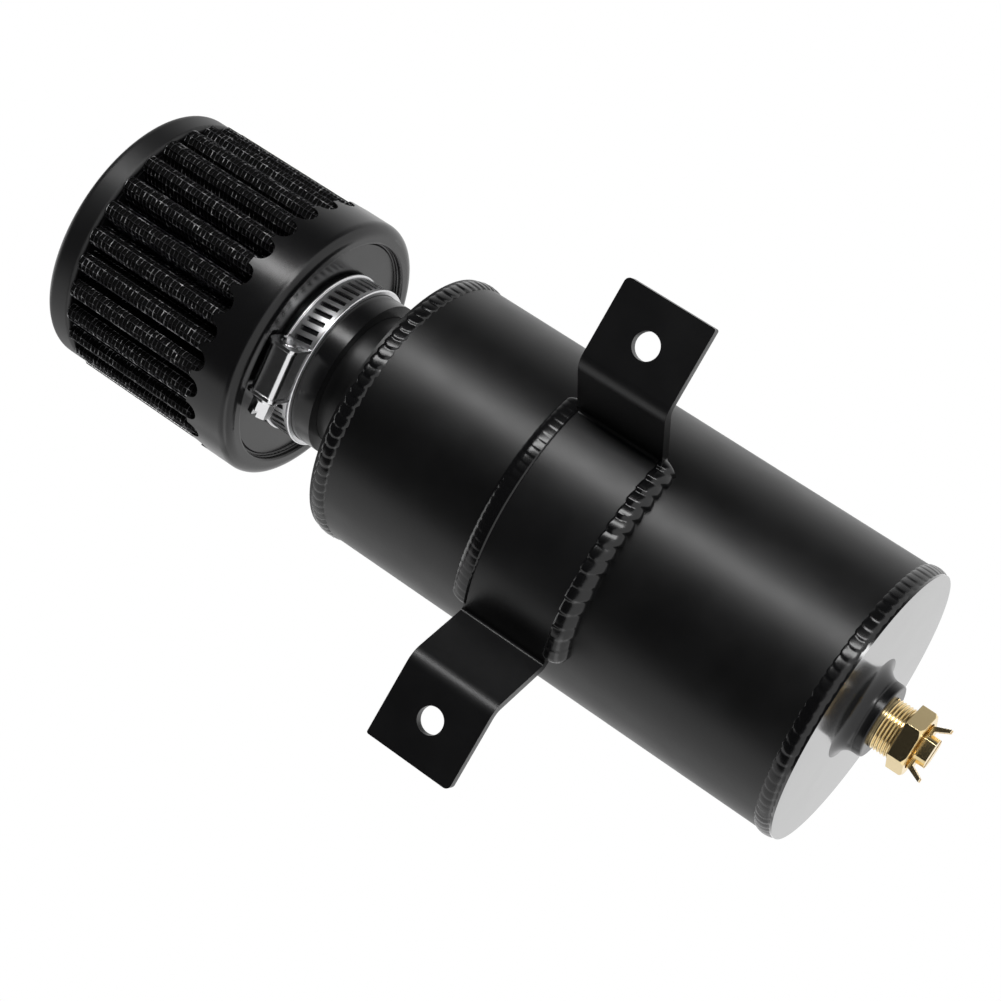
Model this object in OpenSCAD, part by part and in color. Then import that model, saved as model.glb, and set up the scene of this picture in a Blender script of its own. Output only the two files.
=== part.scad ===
/* [Can] */
// Outside diameter of the can
can_d = 76.2; // [66:0.1:96]
// Length of the can over its two end plates
can_len = 143.4; // [120:0.1:220]
// Thickness of the rolled wall
can_wall = 1.6; // [1:0.1:3]
// Thickness of each end plate
plate_t = 2.5; // [1.5:0.1:3.5]
// Free play of a piece that is set into a hole or slipped over a tube
slip = 0.1; // [0.05:0.05:0.2]

/* [Weld beads] */
// How far an end bead stands out of the wall
bead_rise = 0.7; // [0.4:0.1:1.2]
// Width of an end bead along the wall
bead_w = 5.4; // [4:0.1:7]
// How far an end bead laps over the flat of its end plate
bead_lap = 0.1; // [0.05:0.05:0.6]
// Leg of the fillet beads at the spigot and the inlets
fillet_w = 2.4; // [1.5:0.1:3]
// Leg of the fillet bead at the bung
bung_fillet_w = 1.2; // [0.8:0.1:2]
// Leg of the bead under the strap, on the drain side
strap_bead_lower = 3.4; // [2:0.1:4.5]
// Leg of the bead above the strap, on the filter side
strap_bead_upper = 2.6; // [2:0.1:4.5]

/* [Mounting strap] */
// Thickness of the strap
strap_t = 2.5; // [1.5:0.1:4]
// Width of the strap along the can
strap_w = 25.4; // [20:0.1:40]
// Height of the strap's middle above the bottom of the can
strap_height = 79.1; // [50:0.1:95]
// Half of the angle over which the strap lies on the can
strap_wrap = 43.5; // [35:0.5:50]
// How far the bolting face stands proud of the strap on the can
ear_standoff = 4.4; // [3:0.1:12]
// Distance between the two bolt holes
hole_spacing = 104; // [100:0.5:130]
// Diameter of a bolt hole
hole_d = 7.2; // [5:0.1:10]
// Distance from a bolt hole to the tip of its ear
hole_to_tip = 11.8; // [8:0.1:18]
// Distance from a bolt hole to where the ear starts to bend
hole_to_bend = 8.7; // [7:0.1:9.5]
// Inside radius of the fold beside the can
fold_r = 0.8; // [0.5:0.1:2]
// Inside radius of the bend beside the bolt hole
bend_r = 3.2; // [1:0.1:4]
// Radius of the well rounded corners of the ears
corner_r = 1.5; // [1:0.1:4]
// Radius of the barely rounded corners of the ears
small_corner_r = 0.6; // [0.3:0.1:2]

/* [Drain] */
// Diameter of the bung
bung_d = 20.4; // [19:0.1:26]
// How far the bung stands out of the bottom plate
bung_len = 6.2; // [4:0.1:12]
// Diameter of the bung's spigot inside the bottom plate
bung_spigot_d = 17; // [16:0.1:18.5]
// Diameter of the threaded shank of the drain cock
cock_thread_d = 13.2; // [11:0.1:14]
// Length of thread left showing between the bung and the hexagon
cock_thread_show = 5.8; // [3:0.1:10]
// Width across the flats of the cock's hexagon
cock_hex_af = 15.4; // [15:0.1:20]
// Length of the cock's hexagon
cock_hex_len = 4.6; // [3.6:0.1:8]
// Diameter of the recess in the end of the hexagon
cock_recess_d = 12.6; // [10.5:0.1:13.4]
// Depth of the recess in the end of the hexagon
cock_recess_len = 2.6; // [1:0.1:3.2]
// Edge left flat at the chamfered corners of the hexagon, past its flats
cock_hex_land = 0.5; // [0.2:0.1:1]
// Diameter of the stem
stem_d = 6.4; // [4:0.1:7]
// Diameter of the stem's hub
stem_hub_d = 8; // [7:0.1:9]
// Distance between the two flats on the hub
stem_hub_flats = 6.8; // [6.5:0.1:7]
// How far the hub stands out of the hexagon
stem_hub_len = 3.6; // [3:0.1:6]
// Width of the driver slot in the end of the hub
stem_slot_w = 1.4; // [1:0.1:2]
// Depth of that slot
stem_slot_len = 1.6; // [1:0.1:2]
// Span over the tips of the two wings
wing_span = 15; // [13:0.1:18]
// Distance over the two wings at their foot
wing_foot = 11.6; // [10:0.1:12.5]
// Thickness of the wings' metal
wing_t = 1; // [0.8:0.1:1.2]
// Width of a wing
wing_w = 4; // [3:0.1:6]
// Height of a wing
wing_len = 4.2; // [3.5:0.1:8]
// Clearance between the wings and the end of the hexagon
wing_clear = 0.3; // [0.2:0.1:0.5]
// Angle of the wings round the stem with the drain closed
wing_turn = 11; // [0:1:180]
// Running clearance round a turning piece
run_gap = 0.08; // [0.05:0.01:0.1]

/* [Inlets] */
// Outside diameter of an inlet pipe
inlet_d = 12; // [9:0.1:14]
// Wall of an inlet pipe
inlet_wall = 1.4; // [1:0.1:2]
// How far an inlet pipe stands out of the can
inlet_len = 26; // [20:0.5:45]
// Height of the step at the root of an inlet pipe, which the hose butts on
inlet_step = 0.8; // [0.4:0.1:1.2]
// How far the thicker root of an inlet pipe stands out of the can
inlet_root_len = 3.2; // [3.1:0.1:6]
// Angle of each inlet pipe from the middle of the back
inlet_angle = 18; // [17:0.5:30]
// Depth of the inlet pipes below the top of the can
inlet_drop = 28; // [20:0.5:40]

/* [Breather filter] */
// Outside diameter of the breather spigot
spigot_d = 38; // [30:0.1:42]
// Wall of the breather spigot
spigot_wall = 1.6; // [1:0.1:2.5]
// Bare length of spigot between the can and the filter's neck
neck_gap = 13.9; // [5:0.1:25]
// Length of the filter's rubber neck
neck_len = 15.9; // [12:0.1:25]
// Wall of the rubber neck
neck_wall = 3.2; // [2.4:0.1:4.5]
// Thickness of the scalloped rim of the rubber base, outside the pleats
base_rim = 0.65; // [0.4:0.05:1.2]
// Height of the rubber base from its face to the tips of its scallops
base_len = 12.1; // [11.6:0.1:20]
// Thickness of the floor that the pleats are set in
base_floor = 7.8; // [5:0.1:8.5]
// Width of a scallop as a share of the space from pleat to pleat
scallop_share = 0.75; // [0.6:0.05:0.8]
// Radius of the rounded edge of the rubber base
base_edge_r = 3; // [1:0.1:4]
// How far the rim of the base stands out of its face, towards the can
rim_rise = 1.9; // [1:0.1:3]
// Clearance between that rim and the screw's housing
rim_clear = 0.3; // [0.2:0.1:3]
// Width of that rim, from its inside to the outside of the base
rim_w = 5.4; // [4.6:0.1:14]
// Radius of the inner edge of the rim
rim_edge_r = 0.6; // [0.3:0.1:1]
// Radius of the ring groove at the foot of the rim
groove_r = 0.5; // [0.4:0.1:1]
// Number of pleats
pleat_n = 28; // [22:1:32]
// Radial depth of a pleat
pleat_depth = 9; // [7:0.1:11]
// Radius of an outer fold, at the middle of the gauze
outer_fold_r = 1.8; // [1.2:0.05:1.9]
// Radius of an inner fold, at the middle of the gauze
inner_fold_r = 1; // [0.95:0.05:1.4]
// Thickness of the pleated gauze
gauze_t = 1; // [0.8:0.1:1.2]
// Thickness of the wire mesh on each side of the gauze
mesh_t = 0.3; // [0.2:0.05:0.4]
// Height of the pleats that shows between the base and the end cap
pleat_show = 42.7; // [25:0.1:90]
// How far the rim of the end cap lies inside the tips of the pleats
end_cap_inset = 0.35; // [0.2:0.05:0.8]
// Height of the end cap
end_cap_len = 8.1; // [5:0.1:12]
// Radius of the end cap's outer edge
end_cap_edge_r = 2.4; // [1:0.1:2.4]
// Diameter of the shallow dish in the end cap
dish_d = 56; // [40:0.5:62]
// Depth of that dish
dish_len = 1.2; // [0.6:0.1:2]

/* [Worm clamp] */
// Width of the band
band_w = 9; // [8:0.1:12]
// Thickness of the band
band_t = 0.7; // [0.5:0.05:0.9]
// Height of the rolled edges of the band
band_edge_r = 0.4; // [0.2:0.05:0.5]
// Gap between the band and the face of the rubber base
band_gap = 1; // [0.6:0.1:3]
// Number of slots round a full turn of the band
slot_n = 52; // [40:1:56]
// Length of a slot across the band
slot_len = 5.4; // [4:0.1:6]
// Width of a slot
slot_w = 1.4; // [0.8:0.1:1.5]
// Lean of the slots from the can's axis
slot_lean = 8; // [0:1:12]
// Angle round the neck from the bolting side to the screw's housing
clamp_turn = 10; // [0:1:60]
// Length of the screw's housing
housing_len = 15.5; // [13:0.1:20]
// Wall of the screw's housing
housing_wall = 0.7; // [0.5:0.1:1]
// Radius of the two long edges on top of the housing
housing_edge_r = 2; // [1.5:0.1:2.5]
// How far the pressed lip at each end of the housing stands out
housing_lip = 0.5; // [0.3:0.1:0.6]
// Width of that lip
housing_lip_w = 1; // [0.6:0.1:1.5]
// Diameter of the worm over its thread
worm_d = 6.2; // [5:0.1:6.4]
// Pitch of the worm's thread
worm_pitch = 2.7; // [2:0.1:3.2]
// Depth of the worm's thread
worm_thread = 0.7; // [0.4:0.1:0.9]
// Clearance between the worm and the band and housing
worm_gap = 0.2; // [0.15:0.05:0.3]
// Width across the flats of the screw's head
head_af = 5.4; // [5:0.1:7]
// Length of the screw's head
head_len = 4.4; // [3:0.1:6]
// Diameter of the collar under the head
collar_d = 6.8; // [6.4:0.1:8]
// Thickness of the collar
collar_t = 1.1; // [0.8:0.1:1.5]
// Depth of the slot in the screw's head
head_slot_len = 1.5; // [1:0.1:2]
// Width of the slot in the screw's head
head_slot_w = 1.4; // [0.8:0.1:1.6]
// Width of the worm's thread at its foot, as a share of the pitch
thread_share = 0.6; // [0.4:0.05:0.7]
// Angle by which the band's tail reaches past the middle of the housing
tail_angle = 34; // [28:1:60]
// Angle from the middle of the housing to where the tail's other end goes under it
tail_root_angle = 20; // [18:1:26]

/* [Hidden] */
$fn = 96;
// Overrun of a cutting shape past the face that it cuts
cut = 1;
// Overlap of the lengths that make up one bent piece, in millimetres and in degrees
lap = 0.05;
lap_turn = 1;

can_r = can_d / 2;
can_in_r = can_r - can_wall;
strap_out_r = can_r + strap_t;
wall_to_axis = strap_out_r + ear_standoff;
inlet_root_r = inlet_d / 2 + inlet_step;

spigot_r = spigot_d / 2;
neck_r = spigot_r + slip + neck_wall;
neck_z = can_len + neck_gap;
base_z = neck_z + neck_len;
rim_z = base_z - rim_rise;
gauze_z = base_z + base_floor;
scallop_z = base_z + base_len;
cap_z = scallop_z + pleat_show;
spigot_top = base_z + base_floor / 2;

band_r = neck_r + slip;
band_out_r = band_r + band_t;
tail_out_r = band_out_r + band_t;
band_mid_z = base_z - band_gap - band_w / 2;
worm_r = worm_d / 2;
tunnel_r = worm_r + worm_gap;
housing_r = tunnel_r + housing_wall;
screw_radial = tail_out_r + worm_gap + worm_r;
housing_half_w = band_w / 2 - 2 * band_edge_r - slip;
journal_r = worm_r - worm_thread - worm_gap;

// The rim of the filter clears the housing's corners and sets the filter's size
rim_in_r = norm([screw_radial + housing_r + housing_lip, housing_len / 2]) + rim_clear;
base_r = rim_in_r + rim_w;
pleat_r = base_r - base_rim;

stem_r = stem_d / 2;
cock_bore_r = stem_r + run_gap;
hex_z = bung_len + cock_thread_show;
hex_end = hex_z + cock_hex_len;
hub_start = hex_end - cock_recess_len + run_gap;
hub_end = hex_end + stem_hub_len;

// Geometry of one ear, seen along the can with the bolting face towards -Y
hole_x = hole_spacing / 2;
fold_c = (strap_out_r + fold_r) * [sin(strap_wrap), -cos(strap_wrap)];
bend_c = [hole_x - hole_to_bend, -wall_to_axis + strap_t + bend_r];
fold_to_bend = bend_c - fold_c;
leg_side = fold_r + strap_t + bend_r;
leg_len = sqrt(fold_to_bend * fold_to_bend - leg_side * leg_side);
leg_fall = asin(leg_side / norm(fold_to_bend)) - atan2(fold_to_bend[1], fold_to_bend[0]);

// The part's origin is midway between the bolt holes, on the bolting face
module on_can() {
    translate([0, wall_to_axis, -strap_height]) children();
}

// A plain ring round the can's axis, from one height to another
module ring(r_in, r_out, z0, z1) {
    translate([0, 0, z0])
        difference() {
            cylinder(r = r_out, h = z1 - z0);
            translate([0, 0, -cut]) cylinder(r = r_in, h = z1 - z0 + 2 * cut);
        }
}

// A straight run of pipe hole through the back of the can, on one inlet's line
module inlet_line(side, r, from, to) {
    translate([0, 0, can_len - inlet_drop])
        rotate([0, 0, 90 + side * inlet_angle])
            rotate([0, 90, 0])
                translate([0, 0, from]) cylinder(r = r, h = to - from);
}

module can_tube() {
    color([0.05, 0.05, 0.055])
        on_can()
            difference() {
                ring(can_in_r, can_r, plate_t, can_len - plate_t);
                for (side = [-1, 1])
                    inlet_line(side, inlet_root_r + slip, 0, can_r + cut);
            }
}

module bottom_plate() {
    color([0.06, 0.06, 0.065])
        on_can() ring(bung_spigot_d / 2 + slip, can_r, 0, plate_t);
}

module top_plate() {
    color([0.06, 0.06, 0.065])
        on_can() ring(spigot_r + slip, can_r, can_len - plate_t, can_len);
}

// Half of a lens laid against the wall, which laps over the end plate's edge
module end_bead() {
    arc_r = (bead_w * bead_w / 4 + bead_rise * bead_rise) / (2 * bead_rise);
    rotate_extrude()
        difference() {
            intersection() {
                translate([can_r + bead_rise - arc_r, bead_w / 2 - bead_lap]) circle(r = arc_r);
                translate([can_r - 2 * bead_rise, -bead_lap]) square([4 * bead_rise, bead_w + cut]);
            }
            translate([can_r - 3 * bead_rise, 0]) square([3 * bead_rise, bead_w + cut]);
        }
}

module bottom_weld() {
    color([0.16, 0.16, 0.17])
        on_can() end_bead();
}

module top_weld() {
    color([0.16, 0.16, 0.17])
        on_can() translate([0, 0, can_len]) mirror([0, 0, 1]) end_bead();
}

// Convex fillet bead of leg w round a tube of radius r that stands on a flat
module fillet_bead(r, w) {
    rotate_extrude()
        intersection() {
            translate([r, 0]) circle(r = w);
            translate([r, 0]) square(w + cut);
        }
}

module drain_bung() {
    bore_r = cock_thread_d / 2 + slip;
    color([0.08, 0.08, 0.085])
        on_can()
            difference() {
                union() {
                    translate([0, 0, -bung_len]) cylinder(r = bung_d / 2, h = bung_len);
                    translate([0, 0, -cut]) cylinder(r = bung_spigot_d / 2, h = plate_t + cut);
                }
                translate([0, 0, -bung_len - cut]) cylinder(r = bore_r, h = bung_len + plate_t + 2 * cut);
            }
}

module bung_weld() {
    color([0.12, 0.12, 0.125])
        on_can() mirror([0, 0, 1]) fillet_bead(bung_d / 2, bung_fillet_w);
}

module breather_spigot() {
    color([0.07, 0.07, 0.075])
        on_can() ring(spigot_r - spigot_wall, spigot_r, can_len - plate_t, spigot_top);
}

module spigot_weld() {
    color([0.12, 0.12, 0.125])
        on_can() translate([0, 0, can_len]) fillet_bead(spigot_r, fillet_w);
}

// A length of strap bent round an axis along the can
module strap_bend(r_in, start, angle) {
    rotate_extrude(angle = angle, start = start)
        translate([r_in, 0]) square([strap_t, strap_w]);
}

// Takes a corner of the ear off to a radius; the corner lies at the origin
module corner_cut(r) {
    translate([-r, 0, -r])
        rotate([-90, 0, 0])
            difference() {
                translate([0, -r - cut, -cut]) cube([r + cut, r + cut, strap_t + 2 * cut]);
                translate([0, 0, -2 * cut]) cylinder(r = r, h = strap_t + 4 * cut);
            }
}

module ear(top_r, bottom_r) {
    tip_x = hole_x + hole_to_tip;
    translate([fold_c[0], fold_c[1], 0]) {
        strap_bend(fold_r, 90 - leg_fall, strap_wrap + leg_fall + lap_turn);
        rotate([0, 0, -leg_fall])
            translate([-lap, fold_r, 0]) cube([leg_len + 2 * lap, strap_t, strap_w]);
    }
    translate([bend_c[0], bend_c[1], 0])
        strap_bend(bend_r, 270 - leg_fall, leg_fall);
    difference() {
        translate([bend_c[0] - lap, -wall_to_axis, 0])
            cube([tip_x - bend_c[0] + lap, strap_t, strap_w]);
        translate([hole_x, -wall_to_axis - cut, strap_w / 2])
            rotate([-90, 0, 0]) cylinder(r = hole_d / 2, h = strap_t + 2 * cut);
        translate([tip_x, -wall_to_axis, strap_w]) corner_cut(top_r);
        translate([tip_x, -wall_to_axis, 0]) mirror([0, 0, 1]) corner_cut(bottom_r);
    }
}

module mounting_strap() {
    color([0.05, 0.05, 0.055])
        on_can()
            translate([0, 0, strap_height - strap_w / 2]) {
                strap_bend(can_r, 270 - strap_wrap, 2 * strap_wrap);
                ear(corner_r, small_corner_r);
                mirror([1, 0, 0]) ear(small_corner_r, corner_r);
            }
}

// Convex fillet bead along one edge of the strap, on the can's wall
module strap_bead(w) {
    rotate_extrude(angle = 2 * strap_wrap, start = 270 - strap_wrap)
        intersection() {
            translate([can_r, 0]) circle(r = w);
            translate([can_r, 0]) square(w + cut);
        }
}

module strap_weld_lower() {
    color([0.16, 0.16, 0.17])
        on_can()
            translate([0, 0, strap_height - strap_w / 2])
                mirror([0, 0, 1]) strap_bead(strap_bead_lower);
}

module strap_weld_upper() {
    color([0.16, 0.16, 0.17])
        on_can()
            translate([0, 0, strap_height + strap_w / 2]) strap_bead(strap_bead_upper);
}

// Pipe with a thicker root that reaches through the wall, for a hose and its clamp
module inlet_pipe(side) {
    r = inlet_d / 2;
    on_can()
        difference() {
            union() {
                inlet_line(side, inlet_root_r, can_in_r - 2 * can_wall, can_r + inlet_root_len);
                inlet_line(side, r, can_r, can_r + inlet_len);
            }
            inlet_line(side, r - inlet_wall, 0, can_r + inlet_len + cut);
        }
}

module inlet_pipe_left() {
    color([0.07, 0.07, 0.075]) inlet_pipe(1);
}

module inlet_pipe_right() {
    color([0.07, 0.07, 0.075]) inlet_pipe(-1);
}

module inlet_weld(side) {
    r = inlet_root_r;
    on_can()
        difference() {
            translate([0, 0, can_len - inlet_drop])
                rotate([0, 0, 90 + side * inlet_angle])
                    translate([can_r - fillet_w, 0, 0])
                        rotate([0, 90, 0])
                            cylinder(r1 = r + 2 * fillet_w, r2 = r, h = 2 * fillet_w, $fn = 240);
            cylinder(r = can_r, h = can_len, $fn = 480);
            inlet_line(side, r, 0, can_r + inlet_len, $fn = 240);
        }
}

module inlet_weld_left() {
    color([0.12, 0.12, 0.125]) inlet_weld(1);
}

module inlet_weld_right() {
    color([0.12, 0.12, 0.125]) inlet_weld(-1);
}

// Outline of the pleats: round folds outside and inside, joined by straight flanks.
// off moves the outline sideways from the middle of the gauze, to give each layer its faces.
fold_steps = 4;
pleat_pitch = 360 / pleat_n;
skin_t = gauze_t / 2 + mesh_t;
outer_fold = [pleat_r - outer_fold_r - skin_t, 0];
inner_fold_at = pleat_r - skin_t - pleat_depth + inner_fold_r;
inner_fold = inner_fold_at * [cos(pleat_pitch / 2), sin(pleat_pitch / 2)];
flank = inner_fold - outer_fold;
flank_turn = atan2(flank[1], flank[0]) - acos((outer_fold_r + inner_fold_r) / norm(flank));
function turned(p, a) = [p[0] * cos(a) - p[1] * sin(a), p[0] * sin(a) + p[1] * cos(a)];
function fold_point(c, r, a) = c + r * [cos(a), sin(a)];
function pleat_outline(off) = [
    for (i = [0:pleat_n - 1])
        for (p = concat(
            [
                for (k = [0:fold_steps])
                    fold_point(outer_fold, outer_fold_r + off, flank_turn * (2 * k / fold_steps - 1))
            ],
            [
                for (k = [0:fold_steps])
                    fold_point(
                        inner_fold,
                        inner_fold_r - off,
                        180 + flank_turn + (pleat_pitch - 2 * flank_turn) * k / fold_steps
                    )
            ]
        ))
            turned(p, i * pleat_pitch)
];

module pleat_prism(off, z0, z1) {
    translate([0, 0, z0])
        linear_extrude(height = z1 - z0) polygon(pleat_outline(off));
}

module pleat_skin(off_in, off_out) {
    difference() {
        pleat_prism(off_out, gauze_z, cap_z);
        pleat_prism(off_in, gauze_z - cut, cap_z + cut);
    }
}

// Moulded base: neck, face, raised rim and the cup that the pleats are potted in
module filter_base() {
    pocket_r = scallop_share * PI * base_r / pleat_n;
    color([0.045, 0.045, 0.05])
        on_can()
            difference() {
                union() {
                    ring(spigot_r + slip, neck_r, neck_z, base_z + cut);
                    rotate_extrude() {
                        translate([spigot_r + slip, base_z])
                            square([base_r - base_edge_r - spigot_r - slip, base_floor]);
                        translate([rim_in_r + rim_edge_r, rim_z])
                            square([base_r - base_edge_r - rim_in_r - rim_edge_r, base_floor]);
                        translate([rim_in_r, rim_z + rim_edge_r])
                            square([2 * rim_edge_r, base_floor]);
                        translate([rim_in_r + rim_edge_r, rim_z + rim_edge_r])
                            circle(r = rim_edge_r);
                        translate([base_r - base_edge_r, rim_z + base_edge_r])
                            square([base_edge_r, base_z + base_floor - rim_z - base_edge_r]);
                        translate([pleat_r + slip, rim_z + base_edge_r])
                            square([base_r - pleat_r - slip, scallop_z - rim_z - base_edge_r]);
                        translate([base_r - base_edge_r, rim_z + base_edge_r])
                            circle(r = base_edge_r);
                    }
                }
                rotate_extrude()
                    translate([rim_in_r - groove_r, base_z]) circle(r = groove_r);
                for (i = [0:pleat_n - 1])
                    rotate([0, 0, (i + 0.5) * 360 / pleat_n])
                        translate([pleat_r - cut, 0, scallop_z])
                            rotate([0, 90, 0]) cylinder(r = pocket_r, h = 3 * cut);
            }
}

module filter_gauze() {
    color([0.12, 0.11, 0.11])
        on_can() pleat_skin(-gauze_t / 2, gauze_t / 2);
}

module outer_mesh() {
    color([0.2, 0.2, 0.21])
        on_can() pleat_skin(gauze_t / 2, skin_t);
}

module inner_mesh() {
    color([0.2, 0.2, 0.21])
        on_can() pleat_skin(-skin_t, -gauze_t / 2);
}

module filter_end_cap() {
    r = pleat_r - end_cap_inset;
    color([0.05, 0.05, 0.055])
        on_can()
            translate([0, 0, cap_z])
                difference() {
                    rotate_extrude() {
                        square([r - end_cap_edge_r, end_cap_len]);
                        translate([0, end_cap_edge_r / 2])
                            square([r, end_cap_len - end_cap_edge_r * 3 / 2]);
                        translate([r - end_cap_edge_r, end_cap_len - end_cap_edge_r])
                            circle(r = end_cap_edge_r);
                        translate([r - end_cap_edge_r / 2, end_cap_edge_r / 2])
                            circle(r = end_cap_edge_r / 2);
                    }
                    translate([0, 0, end_cap_len - dish_len])
                        cylinder(r1 = dish_d / 2 - dish_len, r2 = dish_d / 2, h = dish_len);
                }
}

// Local frame at the housing: X out of the neck, Y along the screw to its head, Z up
module at_housing() {
    translate([0, 0, band_mid_z])
        rotate([0, 0, 270 - clamp_turn]) mirror([0, 1, 0]) children();
}

// Slotted band, its rolled edges and the tail that lies over it past the housing
module clamp_band() {
    edge_r = band_out_r + band_edge_r / 4;
    color([0.78, 0.78, 0.79])
        on_can()
            difference() {
                union() {
                    ring(band_r, band_out_r, band_mid_z - band_w / 2, band_mid_z + band_w / 2);
                    for (side = [-1, 1])
                        translate([0, 0, band_mid_z + side * (band_w / 2 - band_edge_r)])
                            rotate_extrude() translate([edge_r, 0]) circle(r = band_edge_r);
                    translate([0, 0, band_mid_z - housing_half_w])
                        rotate([0, 0, 270 - clamp_turn - tail_angle])
                            rotate_extrude(angle = tail_angle + tail_root_angle)
                                translate([band_out_r - band_t / 4, 0])
                                    square([band_t * 5 / 4, 2 * housing_half_w]);
                }
                for (i = [0:slot_n - 1])
                    rotate([0, 0, 270 - clamp_turn - tail_angle + (i + 1) * 360 / slot_n])
                        translate([band_r - cut, 0, band_mid_z])
                            rotate([slot_lean, 0, 0])
                                translate([0, -slot_w / 2, -slot_len / 2])
                                    cube([2 * cut + 3 * band_t, slot_w, slot_len]);
                translate([0, 0, band_mid_z - band_w])
                    cylinder(r = band_r, h = 2 * band_w);
            }
}

// Length of the housing's outside, a tunnel with two rounded edges on top
module housing_form(rise, from, to) {
    half_w = housing_r + rise;
    top = screw_radial + housing_r + rise;
    edge_x = top - housing_edge_r;
    edge_z = half_w - housing_edge_r;
    translate([band_out_r, from, -half_w]) cube([edge_x - band_out_r, to - from, 2 * half_w]);
    translate([band_out_r, from, -edge_z]) cube([top - band_out_r, to - from, 2 * edge_z]);
    for (side = [-1, 1])
        translate([edge_x, to, side * edge_z])
            rotate([90, 0, 0]) cylinder(r = housing_edge_r, h = to - from);
}

// Pressed tunnel that holds the screw down on the band, with a lip at each end
module clamp_housing() {
    end_y = housing_len / 2;
    color([0.8, 0.8, 0.81])
        on_can()
            difference() {
                at_housing() {
                    housing_form(0, -end_y, end_y);
                    housing_form(housing_lip, -end_y, housing_lip_w - end_y);
                    housing_form(housing_lip, end_y - housing_lip_w, end_y);
                }
                at_housing() {
                    translate([screw_radial, end_y - housing_wall, 0])
                        rotate([90, 0, 0]) cylinder(r = tunnel_r, h = housing_len - 2 * housing_wall);
                    translate([screw_radial, end_y + cut, 0])
                        rotate([90, 0, 0]) cylinder(r = journal_r + run_gap, h = housing_len + 2 * cut);
                    translate([band_out_r - cut, -end_y - cut, -tunnel_r])
                        cube([screw_radial - tunnel_r / 2 - band_out_r + cut, housing_len + 2 * cut, 2 * tunnel_r]);
                }
                translate([0, 0, band_mid_z - band_w])
                    cylinder(r = tail_out_r, h = 2 * band_w);
            }
}

// Worm between two plain journals, with a collar and a slotted hexagon head
module clamp_screw() {
    worm_len = housing_len - 2 * housing_wall - 2 * worm_gap;
    turns = floor(worm_len / worm_pitch);
    collar_y = housing_len / 2 + worm_gap;
    head_y = collar_y + collar_t;
    color([0.75, 0.75, 0.76])
        on_can()
            at_housing()
                translate([screw_radial, 0, 0])
                    difference() {
                        rotate([-90, 0, 0]) {
                            translate([0, 0, -worm_len / 2])
                                cylinder(r = worm_r - worm_thread, h = worm_len);
                            for (i = [0:turns - 1])
                                translate([0, 0, (i + 0.5) * worm_pitch - worm_len / 2]) worm_ridge();
                            translate([0, 0, -collar_y])
                                cylinder(r = journal_r, h = 2 * collar_y + collar_t / 2);
                            translate([0, 0, collar_y])
                                cylinder(r = collar_d / 2, h = collar_t);
                            translate([0, 0, head_y - collar_t / 2])
                                cylinder(d = head_af / cos(30), h = head_len + collar_t / 2, $fn = 6);
                        }
                        translate([-head_af, head_y + head_len - head_slot_len, -head_slot_w / 2])
                            cube([2 * head_af, head_slot_len + cut, head_slot_w]);
                    }
}

// One turn of the worm's thread, as a ridge with sloping sides
module worm_ridge() {
    w = worm_pitch * thread_share / 2;
    translate([0, 0, -w])
        cylinder(r1 = worm_r - worm_thread, r2 = worm_r, h = w / 2);
    translate([0, 0, -w / 2]) cylinder(r = worm_r, h = w);
    translate([0, 0, w / 2])
        cylinder(r1 = worm_r, r2 = worm_r - worm_thread, h = w / 2);
}

module drain_cock_body() {
    color([0.8, 0.62, 0.3])
        on_can()
            mirror([0, 0, 1])
                difference() {
                    union() {
                        translate([0, 0, -plate_t]) cylinder(r = cock_thread_d / 2, h = hex_z + plate_t + cut);
                        translate([0, 0, hex_z])
                            intersection() {
                                cylinder(d = cock_hex_af / cos(30), h = cock_hex_len, $fn = 6);
                                cylinder(
                                    r1 = cock_hex_af / 2 + cock_hex_len,
                                    r2 = cock_hex_af / 2 + cock_hex_land,
                                    h = cock_hex_len
                                );
                            }
                    }
                    translate([0, 0, -plate_t - cut]) cylinder(r = cock_bore_r, h = hex_end + plate_t + 2 * cut);
                    translate([0, 0, hex_end - cock_recess_len])
                        cylinder(r = cock_recess_d / 2, h = cock_recess_len + cut);
                }
}

// Stem with a slotted hub and two upturned wings to turn it by
module drain_stem() {
    wing_r = wing_span / 2;
    foot_r = wing_foot / 2;
    color([0.83, 0.66, 0.33])
        on_can()
            mirror([0, 0, 1])
                difference() {
                    union() {
                        cylinder(r = stem_r, h = hub_end - cut);
                        intersection() {
                            translate([0, 0, hub_start]) cylinder(r = stem_hub_d / 2, h = hub_end - hub_start);
                            rotate([0, 0, wing_turn])
                                translate([-stem_hub_d, -stem_hub_flats / 2, hub_start])
                                    cube([2 * stem_hub_d, stem_hub_flats, hub_end - hub_start]);
                        }
                        rotate([0, 0, wing_turn])
                            translate([0, wing_w / 2, hex_end + wing_clear])
                                rotate([90, 0, 0])
                                    linear_extrude(height = wing_w)
                                        polygon([
                                            [-foot_r, 0],
                                            [foot_r, 0],
                                            [wing_r, wing_len],
                                            [wing_r - wing_t, wing_len],
                                            [foot_r - wing_t, wing_t],
                                            [-foot_r + wing_t, wing_t],
                                            [-wing_r + wing_t, wing_len],
                                            [-wing_r, wing_len]
                                        ]);
                    }
                    rotate([0, 0, wing_turn])
                        translate([-stem_hub_d, -stem_slot_w / 2, hub_end - stem_slot_len])
                            cube([2 * stem_hub_d, stem_slot_w, stem_slot_len + cut]);
                }
}

can_tube();
bottom_plate();
top_plate();
bottom_weld();
top_weld();
drain_bung();
bung_weld();
breather_spigot();
spigot_weld();
mounting_strap();
strap_weld_lower();
strap_weld_upper();
inlet_pipe_left();
inlet_pipe_right();
inlet_weld_left();
inlet_weld_right();
filter_base();
filter_gauze();
outer_mesh();
inner_mesh();
filter_end_cap();
clamp_band();
clamp_housing();
clamp_screw();
drain_cock_body();
drain_stem();
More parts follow.
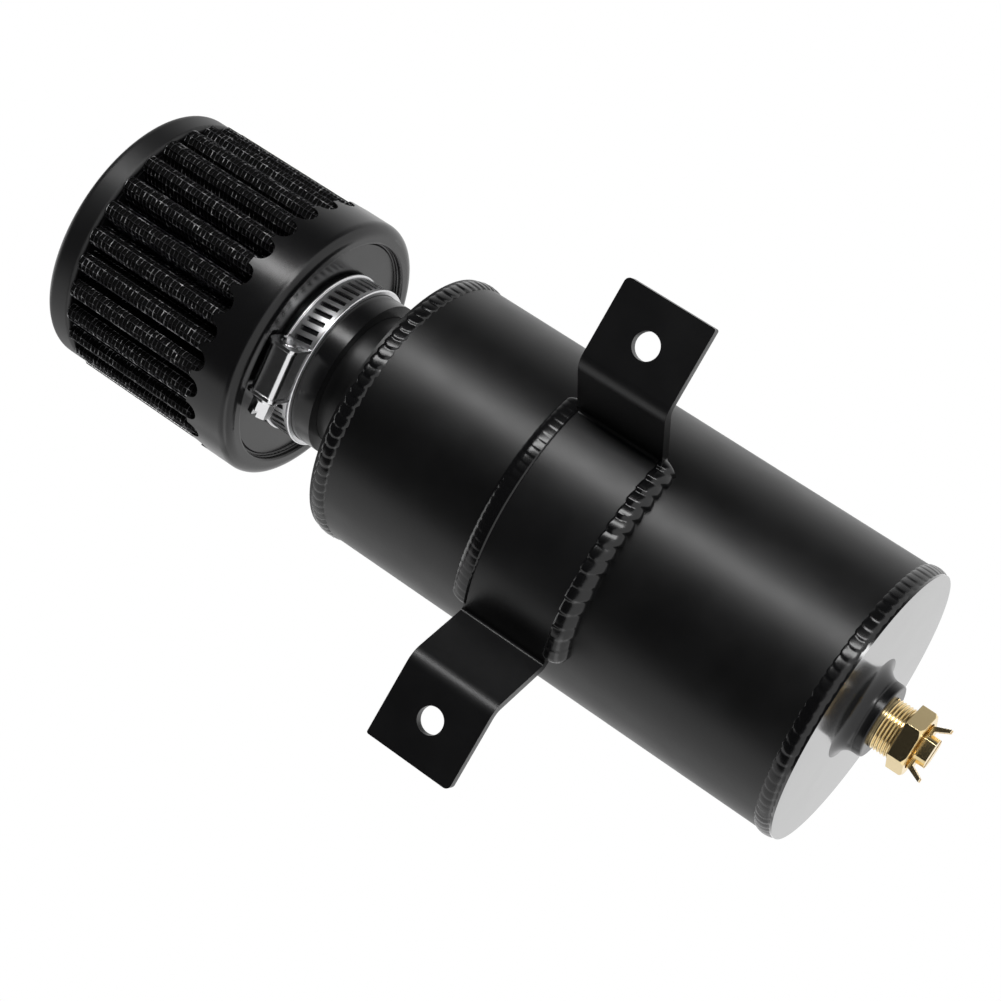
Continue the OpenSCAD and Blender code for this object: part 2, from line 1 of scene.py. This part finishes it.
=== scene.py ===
import random
from math import atan2, cos, hypot, pi, radians, sin, sqrt

import bmesh
import bpy
from mathutils import Matrix, Vector


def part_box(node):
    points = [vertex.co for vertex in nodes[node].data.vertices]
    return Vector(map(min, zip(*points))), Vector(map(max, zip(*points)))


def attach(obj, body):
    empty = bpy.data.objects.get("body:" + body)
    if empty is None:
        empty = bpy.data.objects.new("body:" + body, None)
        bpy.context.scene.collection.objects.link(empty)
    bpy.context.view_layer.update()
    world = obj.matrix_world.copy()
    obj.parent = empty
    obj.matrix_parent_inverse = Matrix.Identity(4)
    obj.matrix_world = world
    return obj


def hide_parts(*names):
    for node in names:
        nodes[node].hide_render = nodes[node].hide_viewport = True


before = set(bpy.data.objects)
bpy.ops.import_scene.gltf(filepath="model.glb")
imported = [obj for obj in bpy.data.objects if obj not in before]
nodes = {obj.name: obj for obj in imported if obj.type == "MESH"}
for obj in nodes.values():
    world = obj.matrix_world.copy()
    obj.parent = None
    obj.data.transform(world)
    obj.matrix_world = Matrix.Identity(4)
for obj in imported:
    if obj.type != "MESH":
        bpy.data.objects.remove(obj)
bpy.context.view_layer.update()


# Camera
# The can is seen from its bolting side and from a little below, turned so that it
# lies from the upper left to the lower right.
camera_place = Vector((0.1133, -0.5482, -0.1828))
camera_round = radians(11.43)
camera_above = radians(-19.23)
camera_roll = radians(-56.45)

camera = bpy.data.objects.new("camera", bpy.data.cameras.new("camera"))
bpy.context.scene.collection.objects.link(camera)
camera.matrix_world = (
    Matrix.Translation(camera_place)
    @ Matrix.Rotation(camera_round, 4, "Z")
    @ Matrix.Rotation(pi / 2 - camera_above, 4, "X")
    @ Matrix.Rotation(camera_roll, 4, "Z")
)
camera.data.sensor_width = 36
camera.data.lens = 89.62
camera.data.clip_start = 0.01
bpy.context.scene.camera = camera


# Studio
# A white backdrop stands behind the can, and the room in front of it is dark. Three soft
# lamps hang on the left, on the right and above, and a white floor lies far below.
bpy.context.scene.view_settings.view_transform = "Standard"


def work_out(tree, operation, first, second):
    """A Math node fed by two outputs of other nodes. Returns its own output."""
    node = tree.nodes.new("ShaderNodeMath")
    node.operation = operation
    tree.links.new(first, node.inputs[0])
    tree.links.new(second, node.inputs[1])
    return node.outputs[0]


studio = bpy.data.worlds.new("studio")
bpy.context.scene.world = studio
studio.use_nodes = True
sky = studio.node_tree
sky.nodes.clear()
direction = sky.nodes.new("ShaderNodeTexCoord")
along = sky.nodes.new("ShaderNodeSeparateXYZ")
fade = sky.nodes.new("ShaderNodeMapRange")
fade.interpolation_type = "SMOOTHSTEP"
fade.inputs["From Min"].default_value = 0.0
fade.inputs["From Max"].default_value = 1.1
fade.inputs["To Min"].default_value = 0.012
fade.inputs["To Max"].default_value = 1.0
surround = sky.nodes.new("ShaderNodeBackground")
paper = sky.nodes.new("ShaderNodeBackground")
paper.inputs["Color"].default_value = (1, 1, 1, 1)
ray = sky.nodes.new("ShaderNodeLightPath").outputs
mirrored = work_out(sky, "MAXIMUM", ray["Is Glossy Ray"], ray["Is Transmission Ray"])
behind = work_out(sky, "MULTIPLY", mirrored, fade.outputs["Result"])
shown = work_out(sky, "MAXIMUM", ray["Is Camera Ray"], behind)
choose = sky.nodes.new("ShaderNodeMixShader")
sky_out = sky.nodes.new("ShaderNodeOutputWorld")
sky.links.new(direction.outputs["Generated"], along.inputs[0])
sky.links.new(along.outputs["Y"], fade.inputs["Value"])
sky.links.new(fade.outputs["Result"], surround.inputs["Strength"])
sky.links.new(shown, choose.inputs["Fac"])
sky.links.new(surround.outputs[0], choose.inputs[1])
sky.links.new(paper.outputs[0], choose.inputs[2])
sky.links.new(choose.outputs[0], sky_out.inputs["Surface"])

# The can's axis runs along Z, from can_bottom to can_top.
wall_low, wall_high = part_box("can_tube")
can_axis = Vector((0, (wall_low.y + wall_high.y) / 2, 0))
can_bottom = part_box("bottom_plate")[0].z
can_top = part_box("top_plate")[1].z
can_middle = can_axis + Vector((0, 0, (can_bottom + can_top) / 2))
lamp_distance = 1.1


def soft_lamp(name, towards, wide, tall, power):
    lamp = bpy.data.lights.new(name, "AREA")
    lamp.shape = "RECTANGLE"
    lamp.size = wide
    lamp.size_y = tall
    lamp.energy = power
    holder = bpy.data.objects.new(name, lamp)
    bpy.context.scene.collection.objects.link(holder)
    way = Vector(towards).normalized()
    holder.location = can_middle + way * lamp_distance
    holder.rotation_euler = way.to_track_quat("Z", "Y").to_euler()


soft_lamp("lamp_left", (-0.96, -0.10, 0.22), wide=1.1, tall=1.6, power=4.4)
soft_lamp("lamp_right", (0.70, -0.68, 0.22), wide=0.2, tall=1.6, power=10)
soft_lamp("lamp_above", (-0.35, 0.10, 0.93), wide=0.6, tall=0.6, power=2)

floor_below = 0.75
floor_half = 4
floor_mesh = bpy.data.meshes.new("floor")
bm = bmesh.new()
bmesh.ops.create_grid(bm, x_segments=1, y_segments=1, size=floor_half)
bmesh.ops.translate(bm, verts=bm.verts, vec=(0, 0, -floor_below))
bm.to_mesh(floor_mesh)
bm.free()
floor = bpy.data.objects.new("floor", floor_mesh)
bpy.context.scene.collection.objects.link(floor)
floor_paper = bpy.data.materials.new("floor_paper")
floor_paper.use_nodes = True
ground = floor_paper.node_tree
ground.nodes.clear()
ground_matt = ground.nodes.new("ShaderNodeBsdfDiffuse")
ground_matt.inputs["Color"].default_value = (0.8, 0.8, 0.8, 1)
ground_white = ground.nodes.new("ShaderNodeEmission")
ray = ground.nodes.new("ShaderNodeLightPath").outputs
mirrored = work_out(ground, "MAXIMUM", ray["Is Glossy Ray"], ray["Is Transmission Ray"])
shown = work_out(ground, "MAXIMUM", ray["Is Camera Ray"], mirrored)
ground_choose = ground.nodes.new("ShaderNodeMixShader")
ground_out = ground.nodes.new("ShaderNodeOutputMaterial")
ground.links.new(shown, ground_choose.inputs["Fac"])
ground.links.new(ground_matt.outputs[0], ground_choose.inputs[1])
ground.links.new(ground_white.outputs[0], ground_choose.inputs[2])
ground.links.new(ground_choose.outputs[0], ground_out.inputs["Surface"])
floor_mesh.materials.append(floor_paper)


# Rolled wall of the can
# Aluminium tube, sprayed with a black powder that bakes to a fine satin skin with a
# faint orange peel.
mm = 0.001


def powder_coat(name, colour, rough, peel=0.35):
    coat = bpy.data.materials.new(name)
    coat.use_nodes = True
    tree = coat.node_tree
    skin = tree.nodes["Principled BSDF"]
    skin.inputs["Base Color"].default_value = (*colour, 1)
    place = tree.nodes.new("ShaderNodeTexCoord")
    cloud = tree.nodes.new("ShaderNodeTexNoise")
    cloud.inputs["Scale"].default_value = 90
    cloud.inputs["Detail"].default_value = 4
    spread = tree.nodes.new("ShaderNodeMapRange")
    spread.inputs["From Min"].default_value = 0.3
    spread.inputs["From Max"].default_value = 0.7
    spread.inputs["To Min"].default_value = rough - 0.03
    spread.inputs["To Max"].default_value = rough + 0.03
    grain = tree.nodes.new("ShaderNodeTexNoise")
    grain.inputs["Scale"].default_value = 1500
    grain.inputs["Detail"].default_value = 2
    bump = tree.nodes.new("ShaderNodeBump")
    bump.inputs["Strength"].default_value = peel
    bump.inputs["Distance"].default_value = 0.02 * mm
    tree.links.new(place.outputs["Object"], cloud.inputs["Vector"])
    tree.links.new(place.outputs["Object"], grain.inputs["Vector"])
    tree.links.new(cloud.outputs["Fac"], spread.inputs["Value"])
    tree.links.new(spread.outputs["Result"], skin.inputs["Roughness"])
    tree.links.new(grain.outputs["Fac"], bump.inputs["Height"])
    tree.links.new(bump.outputs["Normal"], skin.inputs["Normal"])
    return coat


def dress(node, material):
    nodes[node].data.materials.clear()
    nodes[node].data.materials.append(material)


wall_coat = powder_coat("wall_coat", (0.0025, 0.0025, 0.0028), rough=0.38)
dress("can_tube", wall_coat)


# End plates
# Flat discs of the same aluminium. The powder on the bottom one has baked smoother
# than on the wall, so that it shines where the light comes in low.
plate_coat = powder_coat("plate_coat", (0.006, 0.006, 0.0065), rough=0.14, peel=0.05)
plate_skin = plate_coat.node_tree.nodes["Principled BSDF"]
plate_skin.inputs["Coat Weight"].default_value = 0.8
plate_skin.inputs["Coat Roughness"].default_value = 0.15
plate_skin.inputs["Coat IOR"].default_value = 1.7
dress("bottom_plate", plate_coat)
dress("top_plate", wall_coat)


# Weld beads round the two ends
# Each is a row of small overlapping puddles, laid one after the other with a torch,
# that rounds the corner between wall and plate.

# The middle of a puddle runs ahead of its sides by puddle_lead of its length, and past
# puddle_edge the next puddle lies over it.
section_points = 15
puddle_steps = 10
puddle_lead = 0.5
puddle_edge = 0.8
uneven = 0.3
thinnest_end = 0.04
hair_turn = 1e-5


def ease(share):
    """Runs from 0 to 1 with a soft start and a soft stop."""
    share = min(1, max(0, share))
    return share * share * (3 - 2 * share)


def lay_bead(core, reach, first, last, dimes, seed, dip, span=2 * pi, calm=0):
    """A bead round Z: core is the middle of its section, reach its half sizes there.

    Its skin runs round the core from first to last, in degrees. Its puddles sink by dip
    from their front to their back, and calm is the share of the bead, from its start,
    over which they grow out of a smooth run.
    """
    whole = span == 2 * pi
    bm = bmesh.new()
    section = [bm.verts.new((core[0], 0, core[1]))]
    for i in range(section_points):
        turn = radians(first + (last - first) * i / (section_points - 1))
        point = (core[0] + reach[0] * cos(turn), 0, core[1] + reach[1] * sin(turn))
        section.append(bm.verts.new(point))
    rim = [bm.edges.new(pair) for pair in zip(section, section[1:] + section[:1])]
    if not whole:
        bm.faces.new(section)
    bmesh.ops.spin(
        bm,
        geom=section + rim + bm.faces[:],
        cent=(0, 0, 0),
        axis=(0, 0, 1),
        angle=span,
        steps=dimes * puddle_steps,
        use_merge=whole,
    )
    draw = random.Random(seed)
    swell = [1 + uneven * dip * (draw.random() - 0.5) for _ in range(dimes + 2)]
    for vert in bm.verts:
        turn = (atan2(vert.co.y, vert.co.x) + hair_turn) % (2 * pi)
        out = hypot(vert.co.x, vert.co.y)
        lift = (vert.co.z - core[1]) / reach[1]
        place = turn / span * dimes + puddle_lead * (1 - lift * lift)
        back = place % 1
        sink = dip * back * back * (1 - ease((back - puddle_edge) / (1 - puddle_edge)))
        if calm:
            sink *= min(1, turn / span / calm)
        size = swell[int(place) % dimes] * (1 - sink)
        if not whole:
            end = min(turn, span - turn) / span * dimes
            size *= sqrt(max(thinnest_end, 1 - max(0, 1 - end) ** 2))
        new_out = core[0] + (out - core[0]) * size
        vert.co.x *= new_out / out
        vert.co.y *= new_out / out
        vert.co.z = core[1] + lift * reach[1] * size
    bmesh.ops.recalc_face_normals(bm, faces=bm.faces)
    return bm


def turn_over(bm):
    """Mirrors a bead to the other side of Z = 0, with its faces still outwards."""
    bmesh.ops.scale(bm, verts=bm.verts, vec=(1, 1, -1))
    bmesh.ops.reverse_faces(bm, faces=bm.faces)


def fit_piece(bm, name, material, slot, *stands_for, body="can"):
    for face in bm.faces:
        face.smooth = True
    mesh = bpy.data.meshes.new(name)
    bm.to_mesh(mesh)
    bm.free()
    mesh.materials.append(material)
    piece = bpy.data.objects.new(name, mesh)
    bpy.context.scene.collection.objects.link(piece)
    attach(piece, body)
    if stands_for:
        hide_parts(*stands_for)
    return piece


black = (0.005, 0.005, 0.0055)
bead_coat = powder_coat("bead_coat", black, rough=0.21, peel=0.15)
can_r = (wall_high.x - wall_low.x) / 2
end_core = 0.75 * mm
end_reach = (1.35 * mm, 2.75 * mm)
end_inset = 0.08 * mm
for node, height, up, dip, seed in (
    ("bottom_weld", can_bottom, 1, 0.12, 5),
    ("top_weld", can_top, -1, 0.22, 6),
):
    core = (can_r - end_core, end_reach[1] + end_inset)
    bead = lay_bead(core, end_reach, -90, 90, dimes=82, seed=seed, dip=dip)
    if up < 0:
        turn_over(bead)
    bmesh.ops.translate(bead, verts=bead.verts, vec=can_axis + Vector((0, 0, height)))
    fit_piece(bead, node + "_bead", bead_coat, "weld_bead", node)


# Mounting strap
# One strip of aluminium, folded to a hat that hugs the can, with two ears that are
# drilled for the bolts. Its sheared edges are broken a little.
same_point = 0.002 * mm
no_length = 0.001 * mm
flat_turn = radians(0.3)
sharp_turn = radians(40)
shaded_turn = radians(35)


def softened(node, rounded):
    """A merged copy of a solid's mesh, with its sharp edges rounded over."""
    bm = bmesh.new()
    bm.from_mesh(nodes[node].data)
    bmesh.ops.remove_doubles(bm, verts=bm.verts, dist=same_point)
    bmesh.ops.dissolve_degenerate(bm, edges=bm.edges, dist=no_length)
    bmesh.ops.dissolve_limit(bm, angle_limit=flat_turn, verts=bm.verts, edges=bm.edges)
    keen = [
        edge
        for edge in bm.edges
        if edge.is_manifold and edge.calc_face_angle() > sharp_turn
    ]
    bmesh.ops.bevel(
        bm,
        geom=keen,
        offset=rounded,
        offset_type="OFFSET",
        segments=2,
        profile=0.5,
        affect="EDGES",
        material=-1,
        clamp_overlap=True,
    )
    for edge in bm.edges:
        if edge.is_manifold and edge.calc_face_angle() > shaded_turn:
            edge.smooth = False
    return bm


def fit_hard_piece(node, name, material, slot, rounded, body="can"):
    piece = fit_piece(softened(node, rounded), name, material, slot, node, body=body)
    even = piece.modifiers.new("even_shade", "WEIGHTED_NORMAL")
    even.keep_sharp = True


strap_coat = powder_coat("strap_coat", black, rough=0.36)
fit_hard_piece("mounting_strap", "folded_strap", strap_coat, "black_can", rounded=0.25 * mm)


# Beads along the strap
# The one on the drain side is thick and coarse and curls round the foot of one ear.
# The other one is thinner and nearly smooth.
strap_low, strap_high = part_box("mounting_strap")
half_wrap = radians(43.5)
curl_turn = radians(7)
core_shift = 0.1


def strap_bead(name, node, edge, side, rise, leg, dimes, seed, dip, calm=0, curl=0):
    """A bead on the wall along one edge of the strap, of half sizes rise and leg.

    Over the last curl_turn of its way it moves by curl along the can.
    """
    core = (can_r + core_shift * rise, -core_shift * leg)
    span = 2 * half_wrap + curl_turn
    bead = lay_bead(core, (rise, leg), -105, 15, dimes, seed, dip, span, calm)
    turn = Matrix.Rotation(-pi / 2 - half_wrap, 3, "Z")
    bmesh.ops.rotate(bead, verts=bead.verts, cent=(0, 0, 0), matrix=turn)
    for vert in bead.verts:
        past = (atan2(vert.co.y, vert.co.x) + pi / 2 - half_wrap) / curl_turn
        vert.co.z += curl * ease(past)
    if side > 0:
        turn_over(bead)
    bmesh.ops.translate(bead, verts=bead.verts, vec=can_axis + Vector((0, 0, edge)))
    fit_piece(bead, name, bead_coat, "weld_bead", node)


strap_bead(
    "strap_bead_drain_side",
    "strap_weld_lower",
    edge=strap_low.z,
    side=-1,
    rise=3.1 * mm,
    leg=4.4 * mm,
    dimes=17,
    seed=8,
    dip=0.3,
    calm=0.6,
    curl=3.4 * mm,
)
strap_bead(
    "strap_bead_filter_side",
    "strap_weld_upper",
    edge=strap_high.z,
    side=1,
    rise=2.5 * mm,
    leg=4.4 * mm,
    dimes=30,
    seed=9,
    dip=0.03,
)


# Inlet pipes
# Two short aluminium pipes, set into the back of the wall and welded round.
for side in ("left", "right"):
    dress("inlet_pipe_" + side, powder_coat("pipe_coat_" + side, black, rough=0.34))
    dress("inlet_weld_" + side, bead_coat)


# Drain bung
# A turned bush with a broken edge at its mouth, set into the bottom plate. The weld
# round it is drawn out to a smooth hollow flare, which is spun here from its profile.
bung_coat = powder_coat("bung_coat", (0.005, 0.005, 0.006), rough=0.24, peel=0.1)
fit_hard_piece("drain_bung", "bung", bung_coat, "black_can", rounded=0.7 * mm)
bung_low, bung_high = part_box("drain_bung")
bung_r = (bung_high.x - bung_low.x) / 2
flare_w = 4.8 * mm
flare_h = 4.0 * mm
flare_steps = 12
flare_facets = 96
flare_in_bung = 0.2 * mm
flare_in_plate = 0.05 * mm
flare_foot = 0.1 * mm
bm = bmesh.new()
profile = [bm.verts.new((bung_r - flare_in_bung, 0, flare_foot))]
for i in range(flare_steps + 1):
    turn = pi / 2 * i / flare_steps
    out = bung_r + flare_w * (1 - cos(turn))
    profile.append(bm.verts.new((out, 0, -flare_h * (1 - sin(turn)) + flare_in_plate)))
for pair in zip(profile, profile[1:] + profile[:1]):
    bm.edges.new(pair)
bmesh.ops.spin(
    bm,
    geom=bm.verts[:] + bm.edges[:],
    cent=(0, 0, 0),
    axis=(0, 0, 1),
    angle=2 * pi,
    steps=flare_facets,
    use_merge=True,
)
bmesh.ops.recalc_face_normals(bm, faces=bm.faces)
bmesh.ops.translate(bm, verts=bm.verts, vec=can_axis + Vector((0, 0, can_bottom)))
fit_piece(bm, "bung_flare", bung_coat, "weld_bead", "bung_weld")


# Drain cock
# Bright turned brass, screwed into the bung: a body with a hexagon, and a stem in it
# that is turned by its two wings.
brass = bpy.data.materials.new("brass")
brass.use_nodes = True
tree = brass.node_tree
brass_skin = tree.nodes["Principled BSDF"]
brass_skin.inputs["Base Color"].default_value = (0.95, 0.76, 0.42, 1)
brass_skin.inputs["Metallic"].default_value = 1
place = tree.nodes.new("ShaderNodeTexCoord")
stretch = tree.nodes.new("ShaderNodeMapping")
stretch.inputs["Scale"].default_value = (1, 1, 12)
marks = tree.nodes.new("ShaderNodeTexNoise")
marks.inputs["Scale"].default_value = 700
spread = tree.nodes.new("ShaderNodeMapRange")
spread.inputs["To Min"].default_value = 0.16
spread.inputs["To Max"].default_value = 0.26
bump = tree.nodes.new("ShaderNodeBump")
bump.inputs["Strength"].default_value = 0.15
bump.inputs["Distance"].default_value = 0.02 * mm
tree.links.new(place.outputs["Object"], stretch.inputs["Vector"])
tree.links.new(stretch.outputs["Vector"], marks.inputs["Vector"])
tree.links.new(marks.outputs["Fac"], spread.inputs["Value"])
tree.links.new(spread.outputs["Result"], brass_skin.inputs["Roughness"])
tree.links.new(marks.outputs["Fac"], bump.inputs["Height"])
tree.links.new(bump.outputs["Normal"], brass_skin.inputs["Normal"])
fit_hard_piece("drain_cock_body", "cock_body", brass, "brass", rounded=0.15 * mm)
fit_hard_piece("drain_stem", "cock_stem", brass, "brass", rounded=0.12 * mm, body="drain_valve")


# Thread on the shank of the drain cock
# Cut on the lathe as one fine spiral, of which the turns between the bung and the
# hexagon show.
shank_r = 6.6 * mm
thread_pitch = 0.95 * mm
thread_depth = 0.35 * mm
thread_turns = 6
thread_steps = 40
ridge_root = thread_pitch * 0.45
ridge_crest = thread_pitch * 0.05
thread_sunk = 0.1 * mm
bm = bmesh.new()
ridge = [
    bm.verts.new((shank_r - thread_sunk, 0, -ridge_root)),
    bm.verts.new((shank_r + thread_depth, 0, -ridge_crest)),
    bm.verts.new((shank_r + thread_depth, 0, ridge_crest)),
    bm.verts.new((shank_r - thread_sunk, 0, ridge_root)),
]
bm.faces.new(ridge)
bmesh.ops.spin(
    bm,
    geom=bm.verts[:] + bm.edges[:] + bm.faces[:],
    cent=(0, 0, 0),
    axis=(0, 0, 1),
    dvec=(0, 0, -thread_pitch / thread_steps),
    angle=2 * pi * thread_turns,
    steps=thread_steps * thread_turns,
    use_merge=False,
)
bmesh.ops.recalc_face_normals(bm, faces=bm.faces)
thread_start = can_axis + Vector((0, 0, bung_low.z - thread_sunk))
bmesh.ops.translate(bm, verts=bm.verts, vec=thread_start)
fit_piece(bm, "shank_thread", brass, "brass")


# Breather spigot
# The aluminium tube that the filter is pushed over, welded to the top plate.
dress("breather_spigot", wall_coat)
dress("spigot_weld", bead_coat)


# Rubber of the breather filter
# Black moulded rubber, shiny on the base with its neck and duller on the cap at the
# far end.
def moulded_rubber(name, rough):
    rubber = powder_coat(name, (0.007, 0.007, 0.0075), rough, peel=0.25)
    rubber.node_tree.nodes["Principled BSDF"].inputs["IOR"].default_value = 1.45
    return rubber


dress("filter_base", moulded_rubber("base_rubber", rough=0.24))
dress("filter_end_cap", moulded_rubber("cap_rubber", rough=0.42))


# Pleated gauze
# Black cotton gauze, folded into pleats, that drinks up the light.
gauze = bpy.data.materials.new("gauze")
gauze.use_nodes = True
gauze_skin = gauze.node_tree.nodes["Principled BSDF"]
gauze_skin.inputs["Base Color"].default_value = (0.004, 0.004, 0.004, 1)
gauze_skin.inputs["Roughness"].default_value = 0.9
gauze_skin.inputs["Specular IOR Level"].default_value = 0.1
dress("filter_gauze", gauze)


# Wire mesh on both sides of the gauze
# Woven from fine dark wire and folded together with the gauze. The outer one shows on
# the ridges of the pleats, where its wires are worn bright and catch the light.
wire = bpy.data.materials.new("mesh_wire")
wire.use_nodes = True
tree = wire.node_tree
wire_skin = tree.nodes["Principled BSDF"]
wire_skin.inputs["Metallic"].default_value = 1
wire_skin.inputs["Roughness"].default_value = 0.3
place = tree.nodes.new("ShaderNodeTexCoord")
wear = tree.nodes.new("ShaderNodeTexNoise")
wear.inputs["Scale"].default_value = 650
shine = tree.nodes.new("ShaderNodeValToRGB")
dark, bright = shine.color_ramp.elements
dark.position = 0.52
dark.color = (0.03, 0.03, 0.032, 1)
bright.position = 0.72
bright.color = (0.45, 0.45, 0.46, 1)
tree.links.new(place.outputs["Object"], wear.inputs["Vector"])
tree.links.new(wear.outputs["Fac"], shine.inputs["Fac"])
tree.links.new(shine.outputs["Color"], wire_skin.inputs["Base Color"])
dress("inner_mesh", wire)

# The outer mesh is made from the solid's outer skin: its two ends come off, and of the
# rest those faces stay that hang together with the outermost point.
mesh_pitch = 1.3 * mm
wire_width = 0.24 * mm
pleat_flat = radians(0.5)
level = 0.01 * mm
bm = bmesh.new()
bm.from_mesh(nodes["outer_mesh"].data)
bmesh.ops.remove_doubles(bm, verts=bm.verts, dist=same_point)
bmesh.ops.dissolve_limit(bm, angle_limit=pleat_flat, verts=bm.verts, edges=bm.edges)
ends = [face for face in bm.faces if abs(face.normal.z) > 0.5]
bmesh.ops.delete(bm, geom=ends, context="FACES")
outermost = max(bm.verts, key=lambda vert: (vert.co - can_axis).xy.length)
outer_skin = set(outermost.link_faces)
found = list(outer_skin)
while found:
    beside = {face for edge in found.pop().edges for face in edge.link_faces} - outer_skin
    outer_skin |= beside
    found += beside
inner_skin = [face for face in bm.faces if face not in outer_skin]
bmesh.ops.delete(bm, geom=inner_skin, context="FACES")

# A wire runs up each fold and up the middle of each flank between two folds, and the
# rows round the filter are a mesh_pitch apart.
flanks = [
    edge
    for edge in bm.edges
    if abs(edge.verts[0].co.z - edge.verts[1].co.z) < level
    and edge.calc_length() > 2 * mesh_pitch
]
bmesh.ops.subdivide_edges(bm, edges=flanks, cuts=1, use_grid_fill=True)
mesh_low = min(vert.co.z for vert in bm.verts)
mesh_high = max(vert.co.z for vert in bm.verts)
rows = round((mesh_high - mesh_low) / mesh_pitch)
for row in range(1, rows):
    bmesh.ops.bisect_plane(
        bm,
        geom=bm.verts[:] + bm.edges[:] + bm.faces[:],
        plane_co=(0, 0, mesh_low + (mesh_high - mesh_low) * row / rows),
        plane_no=(0, 0, 1),
    )
bmesh.ops.wireframe(
    bm,
    faces=bm.faces[:],
    thickness=wire_width,
    offset=0,
    use_replace=True,
    use_boundary=True,
    use_even_offset=True,
)
fit_piece(bm, "pleat_wires", wire, "wire_mesh", "outer_mesh")


# Worm clamp
# Stainless band with slots and rolled edges, its pressed housing and the screw.
def stainless(name, rough):
    steel = bpy.data.materials.new(name)
    steel.use_nodes = True
    tree = steel.node_tree
    skin = tree.nodes["Principled BSDF"]
    skin.inputs["Base Color"].default_value = (0.78, 0.78, 0.79, 1)
    skin.inputs["Metallic"].default_value = 1
    place = tree.nodes.new("ShaderNodeTexCoord")
    marks = tree.nodes.new("ShaderNodeTexNoise")
    marks.inputs["Scale"].default_value = 900
    spread = tree.nodes.new("ShaderNodeMapRange")
    spread.inputs["To Min"].default_value = rough
    spread.inputs["To Max"].default_value = rough + 0.1
    tree.links.new(place.outputs["Object"], marks.inputs["Vector"])
    tree.links.new(marks.outputs["Fac"], spread.inputs["Value"])
    tree.links.new(spread.outputs["Result"], skin.inputs["Roughness"])
    return steel


steel = stainless("steel", rough=0.16)
dress("clamp_band", stainless("band_steel", rough=0.26))
fit_hard_piece("clamp_housing", "housing", steel, "stainless", rounded=0.15 * mm)
fit_hard_piece("clamp_screw", "screw", steel, "stainless", rounded=0.12 * mm, body="worm_screw")
